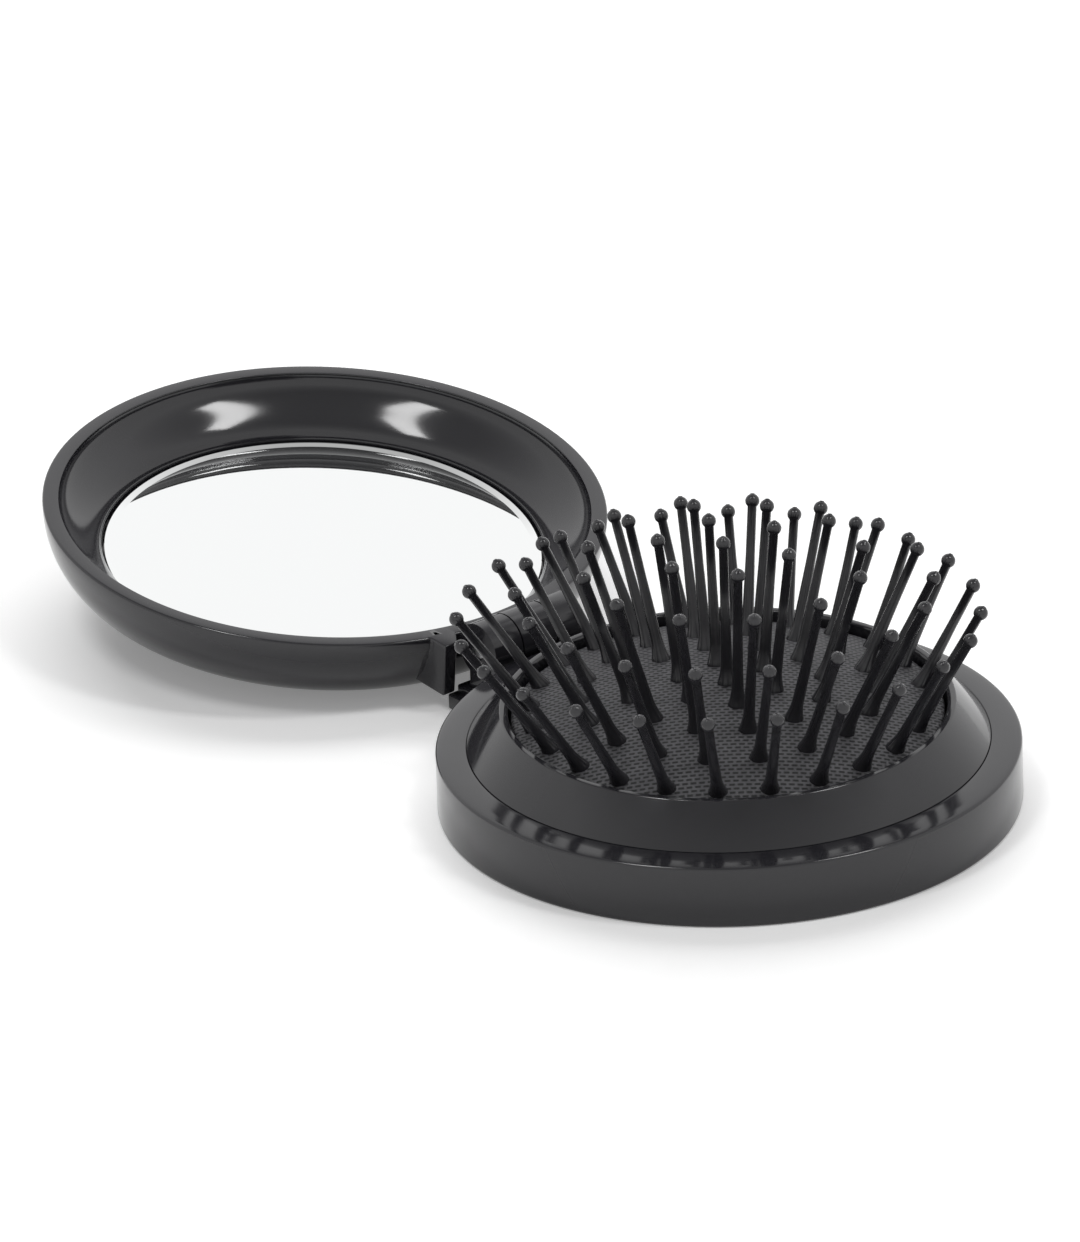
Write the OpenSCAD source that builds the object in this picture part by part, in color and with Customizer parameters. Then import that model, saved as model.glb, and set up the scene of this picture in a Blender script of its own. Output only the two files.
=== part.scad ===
// Folding pop-up hairbrush with a mirror in its lid.
// Origin: on the surface it lies on, straight under the middle of the hinge.
// +X runs along the hinge, +Y towards the open lid, +Z up. Lengths in millimetres.
// Drawn open, as it lies on a table. Closing turns the lid over the brush and the pad sinks.

/* [Base] */
// Outer diameter of the base and of the lid's rim
body_d = 66; // [58:0.5:74]
// Height of the base's outer wall
wall_h = 7.5; // [6:0.1:10]
// Thickness of the base's outer wall
wall_t = 2; // [1.2:0.1:3]
// Width of the flat ledge on top of the wall
ledge_w = 3.5; // [2:0.1:5]
// Thickness of the ledge
ledge_t = 2; // [1.2:0.1:3]
// Height of the collar's flat top above the table
collar_top = 12; // [10:0.1:15]
// Width of the collar's flat top
land_w = 0.9; // [0.6:0.1:2]
// Wall thickness of the collar
collar_t = 1.5; // [1:0.1:2.2]
// Width of the collar's cone, from its foot to the flat top
cone_w = 3.85; // [3:0.05:5]
// Thickness of the ring that closes the underside
bottom_t = 1.6; // [1.2:0.1:2.2]
// Rounding of the wall's edges
edge_round = 0.4; // [0.2:0.05:0.8]

/* [Cushion] */
// Height of the cushion's crown above the table
pad_top = 14.4; // [13:0.1:16]
// Radius of the sphere that the cushion's face follows
pad_dome_r = 85; // [60:1:150]
// Thickness of the cushion
pad_t = 2.4; // [1.5:0.1:3]
// Gap between the cushion's edge and the bore
pad_gap = 0.3; // [0.2:0.05:0.6]
// Chamfer of the cushion's upper edge
pad_chamfer = 0.5; // [0.3:0.05:0.9]
// Thickness of the soft disc behind the pin heads
back_t = 1.2; // [0.8:0.1:2]
// Thickness of the rubber skirt and its clamped flange
skirt_t = 0.9; // [0.6:0.05:1.2]
// Width of the flange that is clamped under the collar
flange_w = 2.8; // [2:0.1:4]

/* [Pins] */
// Pins that each of the four rings has more than the ring inside it
pins_per_step = 6; // [4:2:6]
// Turn of the pin pattern against the hinge, in degrees
pin_turn = 2; // [0:0.5:15]
// Distance from the outer ring of feet to the cushion's edge
foot_margin = 2.2; // [1.6:0.1:4]
// Height of the middle pin's ball above the table
tip_top = 31.5; // [26:0.1:32]
// Radius of the sphere that the balls lie on
tip_dome_r = 52; // [45:0.5:70]
// Angle of each ring's balls on that sphere, from the middle pin outwards
tip_angles = [0, 8.5, 17.4, 26, 33.4];
// Radius of a pin's ball
ball_r = 0.82; // [0.6:0.01:1]
// Radius of the moulding nib on top of the ball
nib_r = 0.28; // [0.15:0.01:0.4]
// Height of the nib above the ball
nib_h = 0.16; // [0.05:0.01:0.3]
// Radius of a pin's shaft below the ball
shaft_top_r = 0.52; // [0.4:0.01:0.7]
// Radius of a pin's shaft above its foot
shaft_low_r = 0.66; // [0.5:0.01:0.8]
// Radius of a pin's flared foot
foot_r = 1.12; // [0.9:0.01:1.4]
// Height of the flare
foot_h = 2.8; // [1.5:0.1:4]
// Radius of the neck that goes through the cushion
neck_r = 0.6; // [0.4:0.01:0.7]
// Radius of the head behind the cushion
head_r = 1.3; // [1:0.05:1.8]
// Thickness of the head
head_t = 0.5; // [0.3:0.05:0.8]

/* [Lid] */
// Depth of the lid from its rim to its flat outside
lid_depth = 9.7; // [9:0.1:13]
// Width of the lid's rounded flank, from the flat outside to the rim
flank_w = 8.2; // [5:0.1:11]
// Width of the flat rim
rim_w = 1.9; // [1.3:0.1:2.5]
// Thickness of the lid's bottom
lid_floor_t = 1.2; // [0.8:0.1:2]
// Thickness of the lid's side wall
lid_wall_t = 1.1; // [0.8:0.1:1.6]
// Height of the lip that the mirror frame snaps under
lip_h = 0.4; // [0.3:0.05:0.8]
// Angle the lid stops short of flat when open
open_tilt = 7; // [4:0.5:15]

/* [Mirror] */
// Width of the mirror frame's curved face, from the rim to its inner edge
frame_w = 5.2; // [3:0.1:7]
// Thickness of the mirror
mirror_t = 1.6; // [1:0.1:2]
// Width of the mirror's polished bevel
mirror_bevel = 0.35; // [0.2:0.05:0.6]
// Thickness of the adhesive foam behind the mirror
foam_t = 0.4; // [0.3:0.05:0.8]
// Gap between the mirror's edge and its frame
mirror_gap = 0.9; // [0.3:0.05:1.2]
// Depth of the frame's inner edge below the rim
frame_depth = 6.2; // [5:0.1:7]
// Wall thickness of the mirror frame
frame_t = 1.6; // [1:0.1:2.2]

/* [Hinge] */
// Distance from the base's wall to the hinge axis
hinge_out = 3.5; // [3.4:0.1:5]
// Height of the hinge axis above the table
hinge_z = 8; // [7.5:0.1:9]
// Radius of the knuckles
knuckle_r = 3.3; // [2.8:0.05:3.4]
// Width of the middle knuckle
middle_w = 4.8; // [3:0.1:6]
// Width of each outer knuckle
outer_w = 4; // [3:0.1:5]
// Radius of the steel pin
hinge_pin_r = 1; // [0.7:0.05:1.2]
// Gap between an outer knuckle's end and the ear beside it
ear_gap = 1.3; // [0.5:0.1:3]
// Width of each ear at its end
ear_w = 1.4; // [1:0.1:2]
// How far each ear widens towards the hinge where it grows out of the rim
ear_flare = 1.8; // [0.6:0.1:2.2]
// Height of each ear
ear_h = 6.6; // [4:0.1:7]
// Distance of the ears' ends from the hinge axis
ear_reach = 2.5; // [1.5:0.1:3]

/* [Fits] */
// Gap between fixed pieces that are slid or snapped together
snap_gap = 0.05; // [0.03:0.01:0.1]
// Gap between the closed rim and the ledge
rim_gap = 0.15; // [0.1:0.05:0.3]
// Gap at each side of the middle knuckle and of the ears
side_gap = 0.2; // [0.15:0.05:0.4]
// Radial gap of the steel pin in the fixed knuckles
pin_hold_gap = 0.02; // [0.01:0.01:0.03]
// Radial gap of the steel pin in the turning knuckle
pin_run_gap = 0.06; // [0.03:0.01:0.1]

/* [Hidden] */
$fn = 96;
SMALL_FN = 32;
DOME_FN = 200;
CUT = 1;              // how far a cutting tool runs past what it cuts
CURVE_STEPS = 20;     // points along a moulded curve

body_r = body_d / 2;
hinge_reach = body_r + hinge_out;       // from the middle of the base or lid to the hinge axis
base_y = -hinge_reach;
ledge_r = body_r - ledge_w;
ledge_z = wall_h - ledge_t;
inner_wall_r = body_r - wall_t;
collar_foot_r = ledge_r - snap_gap;
land_r = collar_foot_r - cone_w;
bore_r = land_r - land_w;               // the pad travels in this bore
collar_foot_t = 1.6;
flange_top = bottom_t + skirt_t;

pad_r = bore_r - pad_gap;
pad_centre_z = pad_top - pad_dome_r;
head_space = head_t + 2 * snap_gap;
foot_pitch = (pad_r - foot_margin) / (len(tip_angles) - 1);
back_r = pad_r - skirt_t - 2 * pad_gap - snap_gap;
skirt_r = pad_r - snap_gap;
skirt_top = pad_centre_z + sqrt(pow(pad_dome_r - pad_t, 2) - pow(skirt_r, 2)) - snap_gap;

tip_centre_z = tip_top - tip_dome_r;
neck_hole_r = neck_r + snap_gap;

closed_rim_z = wall_h + rim_gap;
rim_offset = hinge_z - closed_rim_z;    // the rim plane lies this far above the axis when flat open
rim_in_r = body_r - rim_w;
flank_centre_r = body_r - flank_w;
cavity_depth = lid_depth - lid_floor_t;
recess_r = rim_in_r - frame_w;
mirror_r = recess_r - mirror_gap;
mirror_face = cavity_depth - foam_t - mirror_t;

outer_in = middle_w / 2 + side_gap;
outer_out = outer_in + outer_w;
ear_in = outer_out + ear_gap;
arm_top = rim_offset - rim_gap;

// ---------- placing ----------

// Moves a base or brush piece from the base's own axis to its place behind the hinge.
module on_base() {
    translate([0, base_y, 0]) children();
}

// Moves a lid piece from the hinge axis, where it lies flat open with z = 0 on the axis,
// to its open place.
module on_hinge() {
    translate([0, 0, hinge_z]) rotate([open_tilt, 0, 0]) children();
}

// Turns a section drawn as [radius, depth below the rim] into a round lid piece.
module lid_turned() {
    translate([0, hinge_reach, rim_offset]) mirror([0, 0, 1]) rotate_extrude() children();
}

// ---------- base ----------

// One base knuckle with the neck that carries it down to the foot of the wall.
module base_knuckle() {
    neck_in = base_y + sqrt(pow(inner_wall_r + wall_t / 2, 2) - pow(outer_out, 2));
    neck_top = wall_h - 2 * rim_gap;
    neck_foot = -knuckle_r / 2;
    rotate([90, 0, 90]) linear_extrude(outer_w) union() {
        translate([0, hinge_z]) circle(knuckle_r);
        polygon([
            [neck_in, edge_round], [neck_foot, edge_round],
            [knuckle_r * cos(35), hinge_z - knuckle_r * sin(35)], [0, hinge_z],
            [-knuckle_r * cos(18), neck_top], [neck_in, neck_top]
        ]);
    }
}

module base_ring() {
    color("dimgray") difference() {
        union() {
            on_base() rotate_extrude() polygon([
                [inner_wall_r, 0], [body_r - edge_round, 0], [body_r, edge_round],
                for (i = [0 : 4]) let (a = i * 90 / 4)
                    [body_r - edge_round + edge_round * cos(a), wall_h - edge_round + edge_round * sin(a)],
                [ledge_r, wall_h], [ledge_r, ledge_z], [inner_wall_r, ledge_z]
            ]);
            for (side = [-1, 1])
                translate([side < 0 ? -outer_out : outer_in, 0, 0]) base_knuckle();
        }
        translate([0, 0, hinge_z]) rotate([0, 90, 0])
            cylinder(r = hinge_pin_r + pin_hold_gap, h = 2 * outer_out + 2 * CUT, center = true, $fn = SMALL_FN);
    }
}

// The collar stands up through the ledge. Its foot flange is caught under the ledge.
module collar() {
    slope = (collar_foot_r - land_r) / (collar_top - wall_h);
    hollow_r = collar_foot_r - collar_t;
    hollow_top = collar_top - (hollow_r - bore_r - collar_t) / slope * 0.55 - collar_t;
    color("dimgray") on_base() rotate_extrude() polygon([
        [bore_r, flange_top], [bore_r, collar_top - edge_round / 2], [bore_r + edge_round / 2, collar_top],
        [land_r, collar_top], [collar_foot_r, wall_h + snap_gap], [collar_foot_r, ledge_z],
        [inner_wall_r - snap_gap, ledge_z], [inner_wall_r - snap_gap, ledge_z - collar_foot_t],
        [hollow_r, ledge_z - collar_foot_t], [hollow_r, wall_h],
        [bore_r + collar_t, hollow_top], [bore_r + collar_t, flange_top]
    ]);
}

// Closes the underside and clamps the rubber flange against the collar.
module bottom_ring() {
    lip_r = bore_r + flange_w + snap_gap;
    lip_t = 1.2;
    color("dimgray") on_base() rotate_extrude() polygon([
        [bore_r, 0], [inner_wall_r - snap_gap, 0], [inner_wall_r - snap_gap, bottom_t],
        [lip_r + lip_t, bottom_t], [lip_r + lip_t, ledge_z - collar_foot_t],
        [lip_r, ledge_z - collar_foot_t], [lip_r, bottom_t], [bore_r, bottom_t]
    ]);
}

module rubber_skirt() {
    color("black") on_base() rotate_extrude() polygon([
        [skirt_r - skirt_t, bottom_t], [bore_r + flange_w, bottom_t], [bore_r + flange_w, flange_top],
        [skirt_r, flange_top], [skirt_r, skirt_top], [skirt_r - skirt_t, skirt_top]
    ]);
}

module hinge_pin() {
    color("silver") translate([0, 0, hinge_z]) rotate([0, 90, 0])
        cylinder(r = hinge_pin_r, h = 2 * outer_out - side_gap, center = true, $fn = SMALL_FN);
}

// ---------- brush ----------

// A ball concentric with the cushion's face, by its depth below that face.
module pad_ball(depth) {
    translate([0, 0, pad_centre_z]) sphere(r = pad_dome_r - depth, $fn = DOME_FN);
}

function ring_count(ring) = ring == 0 ? 1 : ring * pins_per_step;
function foot_at(ring) = let (r = ring * foot_pitch)
    [r, pad_centre_z + sqrt(pow(pad_dome_r, 2) - pow(r, 2))];
function tip_at(ring) = let (a = tip_angles[ring])
    [tip_dome_r * sin(a), tip_centre_z + tip_dome_r * cos(a)];
function lean_of(ring) = let (f = foot_at(ring), t = tip_at(ring)) atan2(t[0] - f[0], t[1] - f[1]);
function length_of(ring) = norm(tip_at(ring) - foot_at(ring));

// Stands children on the feet numbered first to last of one ring, leaning outwards.
module on_feet(ring, first, last) {
    for (i = [first : last])
        rotate([0, 0, pin_turn + i * 360 / ring_count(ring)])
            translate([foot_at(ring)[0], 0, foot_at(ring)[1]])
                rotate([0, lean_of(ring), 0]) children();
}

// The visible pin: flared foot, tapered shaft, ball and a small nib. It starts below the
// cushion's face and is trimmed to the face later.
module pin_upper(length) {
    rotate_extrude($fn = SMALL_FN) polygon([
        [0, -CUT], [foot_r, -CUT], [foot_r, 0],
        for (i = [1 : 6]) let (t = i / 6)
            [shaft_low_r + (foot_r - shaft_low_r) * pow(1 - t, 2), foot_h * t],
        [shaft_top_r, length], [0, length]
    ]);
    translate([0, 0, length]) sphere(r = ball_r, $fn = SMALL_FN);
    translate([0, 0, length]) cylinder(r = nib_r, h = ball_r + nib_h, $fn = SMALL_FN);
}

// A run of pins of one ring, each with its neck through the cushion and its head behind it.
module pin_run(ring, first, last) {
    reach = pad_t + head_space + CUT;
    color("#2b2b2d") on_base() {
        difference() {
            on_feet(ring, first, last) pin_upper(length_of(ring));
            pad_ball(0);
        }
        intersection() {
            on_feet(ring, first, last)
                translate([0, 0, -reach]) cylinder(r = neck_r, h = reach + CUT, $fn = SMALL_FN);
            difference() {
                pad_ball(-CUT / 2);
                pad_ball(pad_t + snap_gap + head_t / 2);
            }
        }
        intersection() {
            on_feet(ring, first, last)
                translate([0, 0, -reach]) cylinder(r = head_r, h = reach, $fn = SMALL_FN);
            difference() {
                pad_ball(pad_t + snap_gap);
                pad_ball(pad_t + snap_gap + head_t);
            }
        }
    }
}

// Half of a ring's pins: the half on the side away from +X is the left one.
module pin_half(ring, left) {
    half = ring_count(ring) / 2;
    first = ceil(half / 2) + (left ? 0 : half);
    pin_run(ring, first, first + half - 1);
}

module cushion() {
    color("#3a3a3d") on_base() difference() {
        intersection() {
            pad_ball(0);
            cylinder(r = pad_r, h = pad_top + CUT);
        }
        pad_ball(pad_t);
        pad_edge_chamfer();
        for (ring = [0 : len(tip_angles) - 1])
            on_feet(ring, 0, ring_count(ring) - 1)
                cylinder(r = neck_hole_r, h = 4 * pad_t, center = true, $fn = SMALL_FN);
    }
}

// What is cut from the cushion's upper edge.
module pad_edge_chamfer() {
    edge_z = pad_centre_z + sqrt(pow(pad_dome_r, 2) - pow(pad_r, 2));
    rotate_extrude() polygon([
        [pad_r, edge_z - pad_chamfer], [pad_r + CUT, edge_z - pad_chamfer],
        [pad_r + CUT, edge_z + CUT], [pad_r - pad_chamfer, edge_z + CUT],
        [pad_r - pad_chamfer, edge_z + pad_chamfer / 4]
    ]);
}

module cushion_back() {
    color("black") on_base() difference() {
        intersection() {
            pad_ball(pad_t + head_space);
            cylinder(r = back_r, h = pad_top);
        }
        pad_ball(pad_t + head_space + back_t);
    }
}

// ---------- lid ----------

// Point on the lid's flank, moved inwards by inset across and drop down, at angle a:
// 0 at the rim and 90 at the flat bottom.
function flank(inset, drop, a) =
    [flank_centre_r + (flank_w - inset) * cos(a), (lid_depth - drop) * sin(a)];

// Radius of the inner flank at a depth below the rim.
function cavity_r(depth, gap) =
    flank_centre_r + (flank_w - lid_wall_t - gap)
        * sqrt(max(0, 1 - pow(depth / (cavity_depth - gap), 2)));

// Radius of the mirror frame's face at t = 0 at the rim and 1 at its inner edge: an S curve.
function frame_r(t) = recess_r + (rim_in_r - recess_r) * (1 + cos(180 * t)) / 2;

module lid_shell() {
    lip_a = asin((lip_h + snap_gap) / cavity_depth);
    color("dimgray") on_hinge() difference() {
        union() {
            lid_turned() polygon([
                [rim_in_r, 0], [body_r - edge_round, 0],
                for (i = [1 : CURVE_STEPS])
                    flank(0, 0, max(asin(edge_round / lid_depth), 90 * i / CURVE_STEPS)),
                [0, lid_depth], [0, cavity_depth],
                for (i = [CURVE_STEPS : -1 : 0])
                    flank(lid_wall_t, lid_floor_t, lip_a + (90 - lip_a) * i / CURVE_STEPS),
                [rim_in_r, lip_h]
            ]);
            for (side = [0, 1]) mirror([side, 0, 0]) lid_ear();
            lid_knuckle();
        }
        rotate([0, 90, 0])
            cylinder(r = hinge_pin_r + pin_run_gap, h = middle_w + 2 * CUT, center = true, $fn = SMALL_FN);
    }
}

// One ear beside the hinge, seen from above as a wedge that grows out of the rim and, lower down, out of the flank.
module lid_ear() {
    root_y = function (r) hinge_reach - sqrt(pow(r, 2) - pow(ear_in, 2));
    flank_r = flank_centre_r + flank_w * sqrt(1 - pow(ear_h / lid_depth, 2));
    hull() {
        translate([0, 0, rim_offset - CUT]) linear_extrude(CUT) ear_outline(root_y(body_r - rim_w / 2));
        translate([0, 0, rim_offset - ear_h]) linear_extrude(CUT) ear_outline(root_y(flank_r - 0.1));
    }
}

// The wedge's outline, back to its root in the wall.
module ear_outline(root_y) {
    ear_out = ear_in + ear_w;
    polygon([
        [ear_in - ear_flare * 0.8, root_y], [ear_in - ear_flare * 0.7, ear_reach + ear_w * 1.2],
        [ear_in, ear_reach], [ear_out, ear_reach],
        [ear_out + ear_flare * 0.3, ear_reach + ear_w * 1.8], [ear_out + ear_flare * 0.3, root_y]
    ]);
}

// The turning knuckle and the arm that joins it to the lid's wall.
module lid_knuckle() {
    root_y = hinge_reach - body_r + rim_w / 2;
    translate([-middle_w / 2, 0, 0]) rotate([90, 0, 90]) linear_extrude(middle_w) union() {
        circle(knuckle_r);
        translate([0, -knuckle_r]) square([root_y, knuckle_r + arm_top]);
    }
}

module mirror_frame() {
    start = lip_h + snap_gap;
    foot = cavity_depth * sqrt(1 - pow((recess_r - flank_centre_r) / (flank_w - lid_wall_t - snap_gap), 2))
        - snap_gap;
    depth_of = function (t) start + (frame_depth - start) * t;
    back_of = function (depth, r) min(r + frame_t, cavity_r(depth, snap_gap));
    color("dimgray") on_hinge() lid_turned() polygon([
        for (i = [0 : CURVE_STEPS]) let (t = i / CURVE_STEPS) [frame_r(t), depth_of(t)],
        [recess_r, foot],
        for (i = [CURVE_STEPS : -1 : 0])
            let (depth = start + (foot - start) * i / CURVE_STEPS,
                 t = min(1, (depth - start) / (frame_depth - start)))
            [back_of(depth, frame_r(t)), depth]
    ]);
}

module mirror_glass() {
    color("white") on_hinge() lid_turned() polygon([
        [0, mirror_face], [mirror_r - mirror_bevel, mirror_face], [mirror_r, mirror_face + mirror_bevel],
        [mirror_r, mirror_face + mirror_t], [0, mirror_face + mirror_t]
    ]);
}

module mirror_foam() {
    color("gray") on_hinge() lid_turned()
        translate([0, cavity_depth - foam_t]) square([flank_centre_r - CUT, foam_t]);
}

// ---------- assembly ----------

base_ring();
collar();
bottom_ring();
rubber_skirt();
hinge_pin();
cushion();
cushion_back();
pin_run(0, 0, 0);  // pin_centre
pin_run(1, 0, ring_count(1) - 1);  // pins_first_ring
pin_run(2, 0, ring_count(2) - 1);  // pins_second_ring
pin_half(3, true);  // pins_third_ring_left
pin_half(3, false);  // pins_third_ring_right
pin_half(4, true);  // pins_outer_ring_left
pin_half(4, false);  // pins_outer_ring_right
lid_shell();
mirror_frame();
mirror_glass();
mirror_foam();
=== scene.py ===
"""Folding pocket hairbrush with a mirror in its lid: the dressed model and its studio.

Lengths of the object are written in millimetres and turned into metres with MM. The base half
stands behind the hinge on -Y, the open lid in front of it on +Y, and the hinge runs along X.
"""

import logging
import math
from dataclasses import dataclass, field
from enum import Enum
from functools import partial

import bpy
from mathutils import Matrix, Vector


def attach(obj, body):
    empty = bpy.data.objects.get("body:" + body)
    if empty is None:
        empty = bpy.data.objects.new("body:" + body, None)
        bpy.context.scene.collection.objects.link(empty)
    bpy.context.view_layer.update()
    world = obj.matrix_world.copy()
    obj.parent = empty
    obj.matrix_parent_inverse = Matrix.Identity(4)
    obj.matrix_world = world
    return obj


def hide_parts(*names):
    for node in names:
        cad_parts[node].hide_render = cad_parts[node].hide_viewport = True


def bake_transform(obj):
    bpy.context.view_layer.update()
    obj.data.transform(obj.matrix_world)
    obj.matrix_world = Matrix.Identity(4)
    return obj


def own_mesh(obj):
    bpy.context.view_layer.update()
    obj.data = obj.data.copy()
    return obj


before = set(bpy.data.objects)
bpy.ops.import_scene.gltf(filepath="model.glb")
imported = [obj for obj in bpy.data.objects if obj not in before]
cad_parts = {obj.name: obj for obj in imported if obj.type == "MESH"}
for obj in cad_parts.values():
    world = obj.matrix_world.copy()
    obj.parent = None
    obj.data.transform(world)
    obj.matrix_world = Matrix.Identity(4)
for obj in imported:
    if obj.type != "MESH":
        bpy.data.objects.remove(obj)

LOG = logging.getLogger("hairbrush")
MM = 0.001
HINGE_EDGE = 0.22  # rounding of the knuckles, in millimetres
CRISP = 35.0  # angle in degrees above which the edges of the hinge's pieces stay sharp

Corner = tuple[float, float, float]
Point = tuple[float, float]
Piece = bpy.types.Object
Tree = bpy.types.NodeTree
Socket = bpy.types.NodeSocket
Node = bpy.types.Node


# ---------------------------------------------------------------- sizes


@dataclass(frozen=True)
class BodySizes:
    """Driving sizes of the two round halves and the hinge, in millimetres."""

    rim_radius: float = 33.0
    hinge_reach: float = 36.5
    hinge_height: float = 8.0
    wall_height: float = 7.5
    ledge_radius: float = 29.5
    ledge_under: float = 5.5
    inner_wall_radius: float = 31.0
    collar_top: float = 12.0
    land_radius: float = 25.6
    bore_radius: float = 24.7
    open_tilt: float = 7.0
    rim_above_axis: float = 0.35
    seam: float = 0.05


@dataclass(frozen=True)
class DomeSizes:
    """The cushion's dome, in millimetres, by its distance from the base's own axis."""

    top: float = 14.4
    radius: float = 85.0
    edge_radius: float = 24.4
    thickness: float = 2.4

    def height(self, distance: float, depth: float = 0.0) -> float:
        """Height of the dome above the table.

        Args:
            distance: Distance from the base's axis.
            depth: How far below the cushion's face, along its normal.

        Returns:
            The height in millimetres.
        """
        centre = self.top - self.radius
        return centre + math.sqrt((self.radius - depth) ** 2 - distance**2)


BODY = BodySizes()
DOME = DomeSizes()
BASE_AXIS = Vector((0.0, -BODY.hinge_reach * MM, 0.0))


# ---------------------------------------------------------------- outlines


def rounded_outline(corners: list[Corner], arc_steps: int = 5) -> list[Point]:
    """Rounds the corners of a closed outline with true arcs.

    Args:
        corners: Corners as (radius from the axis, height, rounding), in order.
        arc_steps: Straight steps in each rounded corner.

    Returns:
        The outline's points in the same order.
    """
    outline: list[Point] = []
    count = len(corners)
    for index, (across, up, rounding) in enumerate(corners):
        here = Vector((across, up))
        if rounding <= 0.0:
            outline.append((across, up))
            continue
        before = Vector(corners[index - 1][:2]) - here
        after = Vector(corners[(index + 1) % count][:2]) - here
        half = before.angle(after) / 2
        reach = min(rounding / math.tan(half), 0.49 * before.length, 0.49 * after.length)
        radius = reach * math.tan(half)
        inwards = (before.normalized() + after.normalized()).normalized()
        middle = here + inwards * (radius / math.sin(half))
        start = here + before.normalized() * reach - middle
        end = here + after.normalized() * reach - middle
        turn = start.angle_signed(end)
        for step in range(arc_steps + 1):
            spoke = start.copy()
            spoke.rotate(Matrix.Rotation(-turn * step / arc_steps, 2))
            outline.append(tuple(middle + spoke))
    return outline


def spread(first: Point, last: Point, steps: int) -> list[Corner]:
    """Points along a straight wall.

    Args:
        first: Where the wall starts, as (radius, height).
        last: Where it ends.
        steps: Number of equal lengths.

    Returns:
        Unrounded corners between the two ends, both left out.
    """
    return [
        (first[0] + (last[0] - first[0]) * i / steps, first[1] + (last[1] - first[1]) * i / steps, 0.0)
        for i in range(1, steps)
    ]


# ---------------------------------------------------------------- modelling


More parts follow.
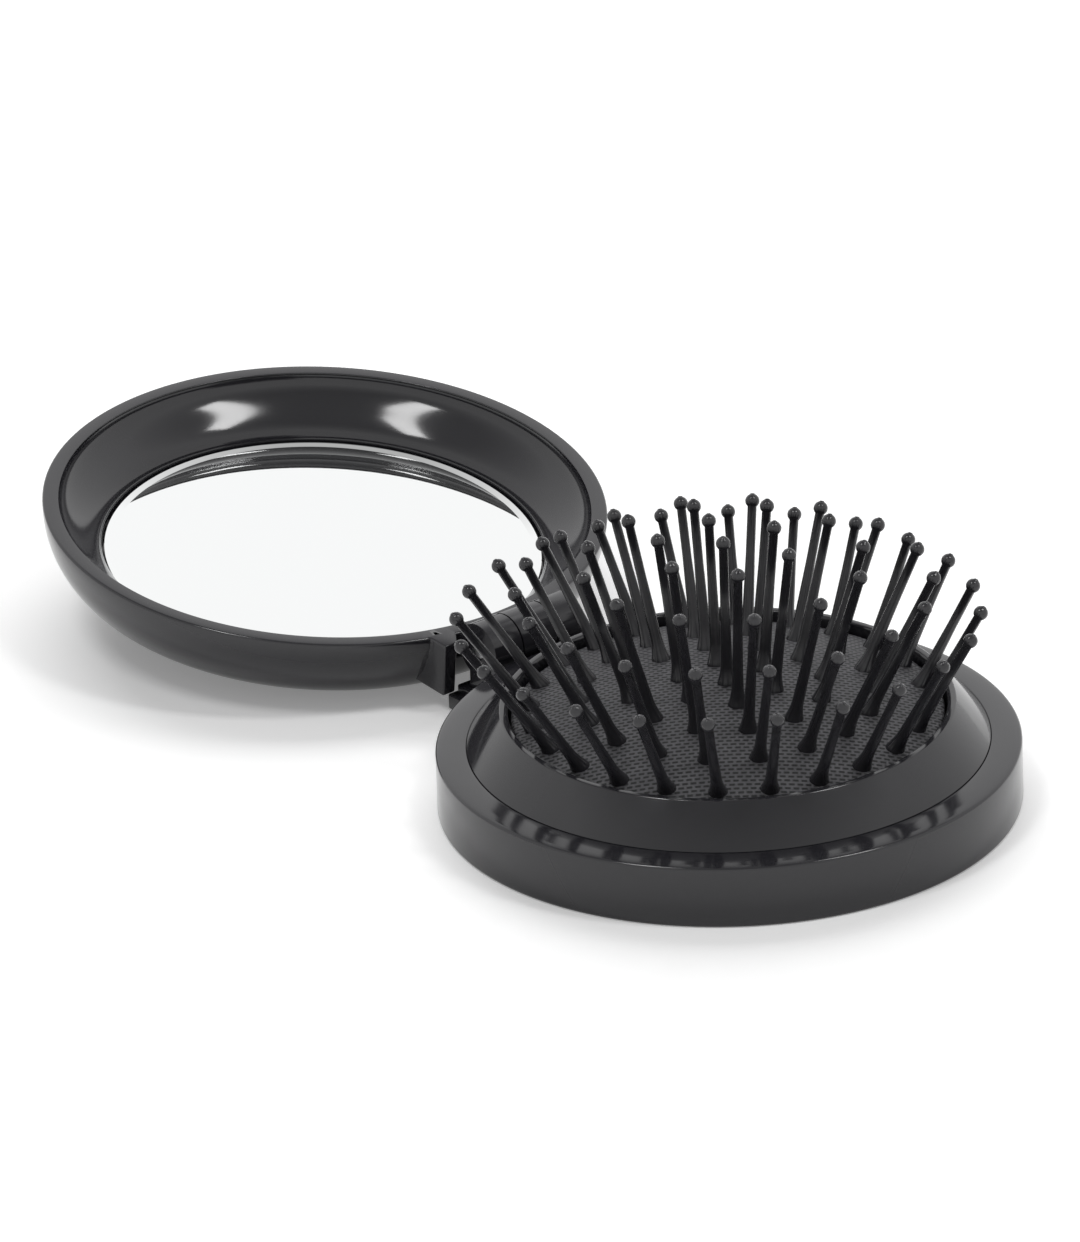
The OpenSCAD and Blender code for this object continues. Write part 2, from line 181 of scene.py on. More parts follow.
class Bench:
    """Edit-mode modelling steps that the sub-assemblies share."""

    DOUBLES = MM * 1e-4
    BEVEL_SEGMENTS = 3

    @staticmethod
    def clear() -> None:
        """Deselects everything, so that an operator acts on one piece alone."""
        bpy.ops.object.select_all(action="DESELECT")

    @classmethod
    def take(cls, *pieces: Piece) -> None:
        """Selects these pieces alone and makes the first one active."""
        cls.clear()
        for piece in pieces:
            piece.select_set(True)
        bpy.context.view_layer.objects.active = pieces[0]

    @classmethod
    def draw(cls, name: str, places: list[Vector]) -> Piece:
        """Draws a piece as one line of edges.

        Args:
            name: The piece's name.
            places: The line's vertices in order, in metres.

        Returns:
            The new object, still in edit mode with everything selected.
        """
        cls.clear()
        bpy.ops.mesh.primitive_plane_add(size=MM)
        piece = bpy.context.object
        piece.name = name
        piece.data.name = name
        bpy.ops.object.mode_set(mode="EDIT")
        bpy.ops.mesh.select_mode(type="VERT")
        bpy.ops.mesh.select_all(action="SELECT")
        bpy.ops.mesh.merge(type="CENTER")
        bpy.ops.transform.translate(value=places[0])
        for here, there in zip(places, places[1:]):
            bpy.ops.mesh.extrude_vertices_move(TRANSFORM_OT_translate={"value": there - here})
        bpy.ops.mesh.select_all(action="SELECT")
        return piece

    @staticmethod
    def hinge_bar(x: float, width: float, radius: float) -> Piece:
        """Adds a round bar on the hinge axis.

        Args:
            x: Its middle along the axis, in millimetres.
            width: Its length, in millimetres.
            radius: Its radius, in millimetres.

        Returns:
            The bar.
        """
        Bench.clear()
        bpy.ops.mesh.primitive_cylinder_add(
            vertices=72,
            radius=radius * MM,
            depth=width * MM,
            location=(x * MM, 0.0, BODY.hinge_height * MM),
            rotation=(0.0, math.radians(90.0), 0.0),
        )
        bpy.ops.object.transform_apply(location=True, rotation=True, scale=True)
        return bpy.context.object

    @classmethod
    def lathe(cls, name: str, outline: list[Point], steps: int) -> Piece:
        """Spins a closed outline about the Z axis at the world origin.

        Args:
            name: The piece's name.
            outline: Points as (radius, height) in millimetres. One that starts and ends on the
                axis is left open there, and any other is closed.
            steps: Steps in a full turn.

        Returns:
            The spun piece, closed and with its faces pointing outwards.
        """
        places = [Vector((across * MM, 0.0, up * MM)) for across, up in outline]
        if outline[0][0] > 0.0:
            places.append(places[0])
        piece = cls.draw(name, places)
        bpy.ops.mesh.remove_doubles(threshold=cls.DOUBLES)
        bpy.ops.mesh.spin(
            steps=steps, angle=2 * math.pi, center=(0.0, 0.0, 0.0), axis=(0.0, 0.0, 1.0), use_auto_merge=True
        )
        bpy.ops.mesh.select_all(action="SELECT")
        bpy.ops.mesh.remove_doubles(threshold=cls.DOUBLES)
        bpy.ops.mesh.normals_make_consistent(inside=False)
        bpy.ops.object.mode_set(mode="OBJECT")
        return piece

    @classmethod
    def slab(cls, name: str, outline: list[Vector], run: Vector, bevel: float) -> Piece:
        """Extrudes a closed flat outline and rounds its edges.

        Args:
            name: The piece's name.
            outline: Corners in metres, all in one plane.
            run: How far and which way it is extruded.
            bevel: Rounding of the edges in millimetres.

        Returns:
            The finished slab.
        """
        piece = cls.draw(name, outline)
        bpy.ops.mesh.edge_face_add()
        bpy.ops.mesh.extrude_region_move(TRANSFORM_OT_translate={"value": run})
        bpy.ops.mesh.select_all(action="SELECT")
        bpy.ops.mesh.normals_make_consistent(inside=False)
        bpy.ops.object.mode_set(mode="OBJECT")
        if bevel > 0.0:
            cls.round_edges(piece, bevel)
        return piece

    @classmethod
    def round_edges(cls, piece: Piece, width: float, sharper_than: float = 30.0) -> None:
        """Bevels the sharp edges of a piece.

        Args:
            piece: The piece to round.
            width: Bevel width in millimetres.
            sharper_than: Only edges that turn by more than this, in degrees.
        """
        cls.take(piece)
        bevel = piece.modifiers.new("rounding", "BEVEL")
        bevel.width = width * MM
        bevel.segments = cls.BEVEL_SEGMENTS
        bevel.limit_method = "ANGLE"
        bevel.angle_limit = math.radians(sharper_than)
        bevel.harden_normals = False
        bpy.ops.object.modifier_apply(modifier=bevel.name)

    @classmethod
    def merge_shapes(cls, piece: Piece, other: Piece, cut: bool = False) -> None:
        """Joins another shape into a piece, or cuts it out, and removes the other.

        Args:
            piece: The piece that stays.
            other: The shape that is added or cut.
            cut: True to cut.
        """
        cls.take(piece)
        boolean = piece.modifiers.new("shape", "BOOLEAN")
        boolean.operation = "DIFFERENCE" if cut else "UNION"
        boolean.solver = "EXACT"
        boolean.object = other
        bpy.ops.object.modifier_apply(modifier=boolean.name)
        bpy.data.objects.remove(other)

    @classmethod
    def place(cls, piece: Piece, matrix: Matrix) -> None:
        """Moves a piece and puts its place into its mesh, with the origin at the world's."""
        cls.take(piece)
        piece.matrix_world = matrix
        bpy.ops.object.transform_apply(location=True, rotation=True, scale=True)

    @classmethod
    def finish(cls, piece: Piece, material: bpy.types.Material, smooth_below: float) -> None:
        """Shades a piece smooth between shallow faces and gives it its one material.

        Args:
            piece: The piece.
            material: Its finish.
            smooth_below: Angle between faces in degrees, above which an edge stays crisp.
        """
        cls.take(piece)
        bpy.ops.object.shade_smooth_by_angle(angle=math.radians(smooth_below))
        piece.data.materials.clear()
        piece.data.materials.append(material)


# ---------------------------------------------------------------- node groups


def new_group(name: str, inputs: dict[str, float], outputs: dict[str, str]) -> Tree:
    """Starts a shader node group with its sockets.

    Args:
        name: The group's name.
        inputs: Number inputs and their usual values.
        outputs: Output names and their socket types.

    Returns:
        The group, with a group input and a group output node in it.
    """
    group = bpy.data.node_groups.new(name, "ShaderNodeTree")
    group.interface.new_socket("Position", in_out="INPUT", socket_type="NodeSocketVector")
    for label, value in inputs.items():
        socket = group.interface.new_socket(label, in_out="INPUT", socket_type="NodeSocketFloat")
        socket.default_value = value
    for label, kind in outputs.items():
        group.interface.new_socket(label, in_out="OUTPUT", socket_type=kind)
    group.nodes.new("NodeGroupInput").name = "in"
    group.nodes.new("NodeGroupOutput").name = "out"
    return group


def math_node(tree: Tree, operation: str, *values: object) -> Socket:
    """Adds a Math node.

    Args:
        tree: The tree it goes in.
        operation: The Math node's operation.
        values: Sockets or numbers for its inputs, in order.

    Returns:
        The node's output.
    """
    node = tree.nodes.new("ShaderNodeMath")
    node.operation = operation
    for index, value in enumerate(values):
        if isinstance(value, Socket):
            tree.links.new(value, node.inputs[index])
        else:
            node.inputs[index].default_value = float(value)
    return node.outputs[0]


def noise(tree: Tree, vector: Socket, scale: object, detail: float) -> Socket:
    """Adds a Noise Texture and returns its plain value output."""
    node = tree.nodes.new("ShaderNodeTexNoise")
    tree.links.new(vector, node.inputs["Vector"])
    if isinstance(scale, Socket):
        tree.links.new(scale, node.inputs["Scale"])
    else:
        node.inputs["Scale"].default_value = scale
    node.inputs["Detail"].default_value = detail
    return node.outputs["Fac"]


class Effects:
    """The shared shader effects, each built once as a node group."""

    def __init__(self) -> None:
        """Builds the groups."""
        self.handling = self._handling()
        self.weave = self._weave()

    @staticmethod
    def _handling() -> Tree:
        """Moulding grain and faint handling marks.

        Returns:
            A group that gives a roughness and a height for a bump.
        """
        group = new_group(
            "moulded_surface",
            {"Roughness": 0.2, "Marks": 0.05, "Grain Scale": 2500.0},
            {"Roughness": "NodeSocketFloat", "Height": "NodeSocketFloat"},
        )
        source, sink = group.nodes["in"], group.nodes["out"]
        calc = partial(math_node, group)
        cloudy = noise(group, source.outputs["Position"], 90.0, 3.0)
        streaky = noise(group, source.outputs["Position"], 700.0, 2.0)
        marks = calc("ADD", cloudy, calc("MULTIPLY", streaky, 0.5))
        rougher = calc("MULTIPLY", calc("SUBTRACT", marks, 0.75), source.outputs["Marks"])
        roughness = calc("ADD", source.outputs["Roughness"], rougher)
        group.links.new(roughness, sink.inputs["Roughness"])
        grain = noise(group, source.outputs["Position"], source.outputs["Grain Scale"], 2.0)
        wavy = noise(group, source.outputs["Position"], 60.0, 1.0)
        height = calc("ADD", calc("MULTIPLY", grain, 0.25), wavy)
        group.links.new(height, sink.inputs["Height"])
        return group

    @staticmethod
    def _weave() -> Tree:
        """A fine moulded weave: rows of short slots that run aslant, every other row set over.

        Returns:
            A group that gives the slot mask, a height, and a thread-to-thread variation.
        """
        group = new_group(
            "moulded_weave",
            {"Pitch": 0.00066, "Slot Length": 0.62, "Slot Width": 0.5},
            {"Slots": "NodeSocketFloat", "Height": "NodeSocketFloat", "Variation": "NodeSocketFloat"},
        )
        source, sink = group.nodes["in"], group.nodes["out"]
        split = group.nodes.new("ShaderNodeSeparateXYZ")
        group.links.new(source.outputs["Position"], split.inputs[0])
        calc = partial(math_node, group)
        across = calc("DIVIDE", split.outputs["X"], source.outputs["Pitch"])
        along = calc("DIVIDE", split.outputs["Y"], source.outputs["Pitch"])
        odd = calc("PINGPONG", calc("FLOOR", along), 1.0)
        shifted = calc("ADD", calc("MULTIPLY", across, 0.7), calc("MULTIPLY", odd, 0.5))
        in_slot = calc("ABSOLUTE", calc("SUBTRACT", calc("FRACT", shifted), 0.5))
        in_row = calc("ABSOLUTE", calc("SUBTRACT", calc("FRACT", along), 0.5))
        edges = []
        for distance, size in ((in_slot, "Slot Length"), (in_row, "Slot Width")):
            half = calc("MULTIPLY", source.outputs[size], 0.5)
            inside = group.nodes.new("ShaderNodeMapRange")
            inside.interpolation_type = "SMOOTHSTEP"
            group.links.new(distance, inside.inputs["Value"])
            group.links.new(calc("ADD", half, 0.12), inside.inputs["From Min"])
            group.links.new(calc("SUBTRACT", half, 0.08), inside.inputs["From Max"])
            edges.append(inside.outputs["Result"])
        slots = calc("MULTIPLY", *edges)
        group.links.new(slots, sink.inputs["Slots"])
        group.links.new(calc("SUBTRACT", 1.0, slots), sink.inputs["Height"])
        variation = noise(group, source.outputs["Position"], 900.0, 2.0)
        group.links.new(variation, sink.inputs["Variation"])
        return group


# ---------------------------------------------------------------- finishes


def blank_material(name: str) -> tuple[bpy.types.Material, Tree, Node]:
    """Starts a material with its shader.

    Args:
        name: The finish's name.

    Returns:
        The material, its node tree and its Principled BSDF.
    """
    material = bpy.data.materials.new(name)
    material.use_nodes = True
    tree = material.node_tree
    return material, tree, tree.nodes["Principled BSDF"]


def use_group(tree: Tree, group: Tree, values: dict[str, float]) -> Node:
    """Places a node group on Object coordinates with its own values."""
    node = tree.nodes.new("ShaderNodeGroup")
    node.node_tree = group
    coordinates = tree.nodes.new("ShaderNodeTexCoord")
    tree.links.new(coordinates.outputs["Object"], node.inputs["Position"])
    for label, value in values.items():
        node.inputs[label].default_value = value
    return node


def add_bump(tree: Tree, shader: Node, height: Socket, depth: float, strength: float) -> None:
    """Feeds a height through a Bump node into the shader's normal."""
    bump = tree.nodes.new("ShaderNodeBump")
    bump.inputs["Distance"].default_value = depth
    bump.inputs["Strength"].default_value = strength
    tree.links.new(height, bump.inputs["Height"])
    tree.links.new(bump.outputs["Normal"], shader.inputs["Normal"])


@dataclass(frozen=True)
class PlainSurface:
    """One colour of plastic, rubber or metal, with moulding grain and faint handling marks."""

    name: str
    slot: str
    colour: tuple[float, float, float]
    roughness: float
    marks: float
    grain_scale: float
    grain_depth: float = 0.000002
    grain_strength: float = 0.35
    metallic: bool = False
    plastic_ior: float = 1.54

    def build(self, effects: Effects) -> bpy.types.Material:
        """Builds the finish.

        Args:
            effects: The shared node groups.

        Returns:
            The material.
        """
        material, tree, shader = blank_material(self.name)
        shader.inputs["Base Color"].default_value = (*self.colour, 1.0)
        if self.metallic:
            shader.inputs["Metallic"].default_value = 1.0
        else:
            shader.inputs["IOR"].default_value = self.plastic_ior
        values = {"Roughness": self.roughness, "Marks": self.marks, "Grain Scale": self.grain_scale}
        surface = use_group(tree, effects.handling, values)
        tree.links.new(surface.outputs["Roughness"], shader.inputs["Roughness"])
        if self.grain_depth > 0.0:
            add_bump(tree, shader, surface.outputs["Height"], self.grain_depth, self.grain_strength)
        return material


@dataclass(frozen=True)
class WovenRubber:
    """Dark grey rubber with a moulded weave on its face, whose recessed slots are painted near black as
    shade.
    """

    name: str
    slot: str
    thread_colour: tuple[float, float, float] = (0.1, 0.099, 0.107)
    # painted shade: the slots' near-black colour stands in for the shadow inside the weave's recesses
    slot_shade_colour: tuple[float, float, float] = (0.005, 0.005, 0.006)
    roughness: float = 0.55
    slot_depth: float = 0.00012
    slot_strength: float = 0.9
    turn: float = 38.0
    wear: float = 0.5
    rough_spread: float = 0.12

    def build(self, effects: Effects) -> bpy.types.Material:
        """Builds the finish.

        Args:
            effects: The shared node groups.

        Returns:
            The material.
        """
        material, tree, shader = blank_material(self.name)
        weave = use_group(tree, effects.weave, {})
        mapping = tree.nodes.new("ShaderNodeMapping")
        mapping.inputs["Rotation"].default_value = (0.0, 0.0, math.radians(self.turn))
        coordinates = tree.nodes.new("ShaderNodeTexCoord")
        tree.links.new(coordinates.outputs["Object"], mapping.inputs["Vector"])
        tree.links.new(mapping.outputs["Vector"], weave.inputs["Position"])
        mix = tree.nodes.new("ShaderNodeMix")
        mix.data_type = "RGBA"
        mix.inputs["A"].default_value = (*self.thread_colour, 1.0)
        # painted shade goes into the recessed slots through the slot mask
        mix.inputs["B"].default_value = (*self.slot_shade_colour, 1.0)
        tree.links.new(weave.outputs["Slots"], mix.inputs["Factor"])
        worn = tree.nodes.new("ShaderNodeMix")
        worn.data_type = "RGBA"
        worn.blend_type = "MULTIPLY"
        worn.inputs["Factor"].default_value = self.wear
        tree.links.new(mix.outputs["Result"], worn.inputs["A"])
        tree.links.new(weave.outputs["Variation"], worn.inputs["B"])
        tree.links.new(worn.outputs["Result"], shader.inputs["Base Color"])
        uneven = math_node(tree, "MULTIPLY", weave.outputs["Variation"], self.rough_spread)
        tree.links.new(math_node(tree, "ADD", uneven, self.roughness), shader.inputs["Roughness"])
        add_bump(tree, shader, weave.outputs["Height"], self.slot_depth, self.slot_strength)
        return material


class Finish(Enum):
    """The object's finishes, each with the material slot that it stands for."""

    SHELL = PlainSurface(
        "black_shell_plastic", "black_shell", (0.0185, 0.0180, 0.0215), 0.11, 0.05, 2600.0
    )
    PIN = PlainSurface("black_pin_nylon", "black_pin", (0.021, 0.0205, 0.024), 0.17, 0.06, 6000.0)
    WOVEN = WovenRubber("woven_cushion_rubber", "cushion_face")
    RUBBER = PlainSurface(
        "soft_black_rubber", "black_rubber", (0.016, 0.016, 0.016), 0.55, 0.12, 1800.0, 0.00001
    )
    STEEL = PlainSurface(
        "hinge_pin_steel", "steel", (0.56, 0.56, 0.57), 0.3, 0.2, 4000.0, 0.00001, 0.3, metallic=True
    )
    MIRROR = PlainSurface(
        "silvered_mirror", "mirror", (0.93, 0.94, 0.94), 0.015, 0.01, 300.0, 0.0, metallic=True
    )
    FOAM = PlainSurface("adhesive_foam", "foam", (0.03, 0.03, 0.03), 0.8, 0.1, 1500.0, 0.00004)


class Paintshop:
    """Builds each finish once and dresses pieces with it."""

    def __init__(self) -> None:
        """Builds the shared effects."""
        self.effects = Effects()
        self.made: dict[Finish, bpy.types.Material] = {}

    def material(self, finish: Finish) -> bpy.types.Material:
        """Returns the finish's material, built at its first use."""
        if finish not in self.made:
            self.made[finish] = finish.value.build(self.effects)
        return self.made[finish]

    def dress(
        self,
        piece: Piece,
        finish: Finish,
        body: str | None,
        nodes: tuple[str, ...] = (),
        smooth_below: float = 40.0,
    ) -> Piece:
        """Finishes a piece and fastens it to its moving body.

        Args:
            piece: The modelled piece, in place.
            finish: Its finish.
            body: The body it rides on, or None to leave it unattached.
            nodes: The construction's nodes that it stands for.
            smooth_below: Angle in degrees below which faces are shaded as one.

        Returns:
            The same piece.
        """
        Bench.finish(piece, self.material(finish), smooth_below)
        if body is not None:
            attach(piece, body)
        if nodes:
            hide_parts(*nodes)
        LOG.info("%s: %d faces on %s", piece.name, len(piece.data.polygons), body)
        return piece


# ---------------------------------------------------------------- base half


@dataclass
class BaseHalf:
    """The base that lies on the table: ring, collar, underside, skirt, knuckles and pin."""

    paint: Paintshop
    steps: int = 288
    wall_edge: float = 0.4
    ledge_fall: float = 0.3
    knuckle_radius: float = 3.3
    knuckle_inner: float = 2.6
    knuckle_outer: float = 6.6
    neck_top: float = 6.9
    plate_half: float = 8.3
    plate_reach: float = 3.8
    plate_top: float = 1.9
    riser_half: float = 7.2
    riser_reach: float = 3.4
    riser_top: float = 2.9
    pin_radius: float = 1.0
    underside: float = 1.6
    skirt_thickness: float = 0.9
    skirt_top: float = 8.28
    flange_reach: float = 2.8

    def build(self) -> None:
        """Builds every piece of the base."""
        self._ring()
        self._knuckles()
        self._collar()
        self._underside()
        self._skirt()
        self._hinge_pin()

    def _turned(self, name: str, corners: list[Corner]) -> Piece:
        """Lathes a piece of the base and stands it on the base's own axis."""
        piece = Bench.lathe(name, rounded_outline(corners), self.steps)
        Bench.place(piece, Matrix.Translation(BASE_AXIS))
        return piece

    def _ring(self) -> None:
        """The outer wall with its ledge."""
        ring = self._turned("outer_ring", [
            (BODY.inner_wall_radius, 0.0, 0.2),
            (BODY.rim_radius, 0.0, self.wall_edge),
            (BODY.rim_radius, BODY.wall_height - self.ledge_fall - 0.02, self.wall_edge),
            *self._ledge(),
            (BODY.ledge_radius, BODY.wall_height, 0.12),
            (BODY.ledge_radius, BODY.ledge_under, 0.0),
            (BODY.inner_wall_radius, BODY.ledge_under, 0.0),
        ])
        self.paint.dress(ring, Finish.SHELL, "base", ("base_ring",))

    def _ledge(self) -> list[Corner]:
        """Points of the ledge's faint crown, from near the wall to near the collar."""
        reach = BODY.rim_radius - BODY.ledge_radius
        shares = [0.8 - 0.1 * i for i in range(8)]
        top = BODY.wall_height
        return [
            (BODY.ledge_radius + reach * share, top - self.ledge_fall * share**2, 0.0) for share in shares
        ]

    def _knuckles(self) -> None:
        """The two outer knuckles, each on its neck, and the foot plate under them."""
        across = math.sqrt((BODY.rim_radius - 1.0) ** 2 - self.knuckle_outer**2)
        wall_y = -BODY.hinge_reach + across
        low = 1.0
        tangent = math.radians(60.0)
        shoulder = math.radians(18.0)
        front = self.knuckle_radius * math.cos(tangent)
        profile = [
            (wall_y, low),
            (front + 1.9, low),
            (front + 1.9, self.plate_top),
            (front + 0.8, self.plate_top + 0.25),
            (front + 0.25, self.plate_top + 0.8),
            (front, self.plate_top + 1.9),
            (front, BODY.hinge_height - self.knuckle_radius * math.sin(tangent)),
            (0.0, BODY.hinge_height),
            (-self.knuckle_radius * math.cos(shoulder), self.neck_top),
            (wall_y, self.neck_top),
        ]
        width = self.knuckle_outer - self.knuckle_inner
        back = wall_y - 1.0
        plate = (self.plate_half, back, self.plate_reach)
        foot = self._foot_block("hinge_foot", plate, 0.02, self.plate_top)
        riser = (self.riser_half, back, self.riser_reach)
        low_riser = 0.5
        upper = self._foot_block("foot_riser", riser, low_riser, self.riser_top - low_riser)
        Bench.merge_shapes(foot, upper)
        self.paint.dress(foot, Finish.SHELL, "base", (), CRISP)
        for side, name in ((-1, "left"), (1, "right")):
            x = side * (self.knuckle_inner + width / 2)
            outline = [Vector(((x - width / 2) * MM, y * MM, z * MM)) for y, z in profile]
            neck = Bench.slab(f"knuckle_{name}", outline, Vector((width * MM, 0.0, 0.0)), 0.0)
            Bench.merge_shapes(neck, Bench.hinge_bar(x, width, self.knuckle_radius))
            Bench.merge_shapes(neck, Bench.hinge_bar(x, width + 2.0, self.pin_radius + 0.02), cut=True)
            Bench.round_edges(neck, HINGE_EDGE)
            self.paint.dress(neck, Finish.SHELL, "base", (), CRISP)

    @staticmethod
    def _foot_block(name: str, plan: Corner, low: float, height: float) -> Piece:
        """Adds an oblong block under the hinge.

        Args:
            name: The block's name.
            plan: Half its width, and the Y of its back and of its front, in millimetres.
            low: Height of its underside, in millimetres.
            height: Its own height, in millimetres.

        Returns:
            The block with rounded edges.
        """
        half, back, front = plan
        corners = ((-half, back), (half, back), (half, front), (-half, front))
        outline = [Vector((x * MM, y * MM, low * MM)) for x, y in corners]
        return Bench.slab(name, outline, Vector((0.0, 0.0, height * MM)), 0.25)

    def _collar(self) -> None:
        """The cone that the lid closes round, with its narrow flat top and its bore."""
        foot = BODY.ledge_radius - BODY.seam
        flange = BODY.inner_wall_radius - BODY.seam
        foot_under = BODY.ledge_under - 1.6
        inner = BODY.bore_radius + 1.5
        collar = self._turned("collar_cone", [
            (BODY.bore_radius, 2.5, 0.1),
            (BODY.bore_radius, BODY.collar_top, 0.42),
            (BODY.land_radius, BODY.collar_top, 0.3),
            (foot, BODY.wall_height + BODY.seam, 0.06),
            (foot, BODY.ledge_under, 0.0),
            (flange, BODY.ledge_under, 0.0),
            (flange, foot_under, 0.1),
            (foot - 1.5, foot_under, 0.1),
            (foot - 1.5, BODY.wall_height, 0.3),
            (inner, 9.3, 0.3),
            (inner, 2.5, 0.1),
        ])
        self.paint.dress(collar, Finish.SHELL, "base", ("collar",))

    def _underside(self) -> None:
        """The ring that closes the underside and clamps the skirt's flange."""
        lip = BODY.bore_radius + self.flange_reach + BODY.seam
        outer = BODY.inner_wall_radius - BODY.seam
        ring = self._turned("underside_ring", [
            (BODY.bore_radius, 0.0, 0.35),
            (outer, 0.0, 0.2),
            (outer, self.underside, 0.0),
            (lip + 1.2, self.underside, 0.1),
            (lip + 1.2, BODY.ledge_under - 1.6, 0.1),
            (lip, BODY.ledge_under - 1.6, 0.1),
            (lip, self.underside, 0.0),
            (BODY.bore_radius, self.underside, 0.35),
        ])
        self.paint.dress(ring, Finish.SHELL, "base", ("bottom_ring",))

    def _skirt(self) -> None:
        """The rubber wall between the clamped flange and the cushion."""
        outside = DOME.edge_radius - BODY.seam
        inside = outside - self.skirt_thickness
        flange_top = self.underside + self.skirt_thickness
        reach = BODY.bore_radius + self.flange_reach
        bends = 14
        skirt = self._turned("rolling_skirt", [
            (inside, self.underside, 0.2),
            (reach, self.underside, 0.1),
            (reach, flange_top, 0.1),
            (outside, flange_top, 0.3),
            *spread((outside, flange_top + 0.3), (outside, self.skirt_top), bends),
            (outside, self.skirt_top, 0.0),
            (inside, self.skirt_top, 0.0),
            *spread((inside, self.skirt_top), (inside, self.underside + 0.3), bends),
        ])
        self.paint.dress(skirt, Finish.RUBBER, None, ("rubber_skirt",))
        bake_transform(skirt)

    def _hinge_pin(self) -> None:
        """The steel pin, with its ends just inside the outer knuckles."""
        length = 2 * self.knuckle_outer - 0.2
        pin = Bench.hinge_bar(0.0, length, self.pin_radius)
        pin.name = "steel_hinge_pin"
        Bench.round_edges(pin, 0.2)
        self.paint.dress(pin, Finish.STEEL, "base", ("hinge_pin",))


# ---------------------------------------------------------------- brush


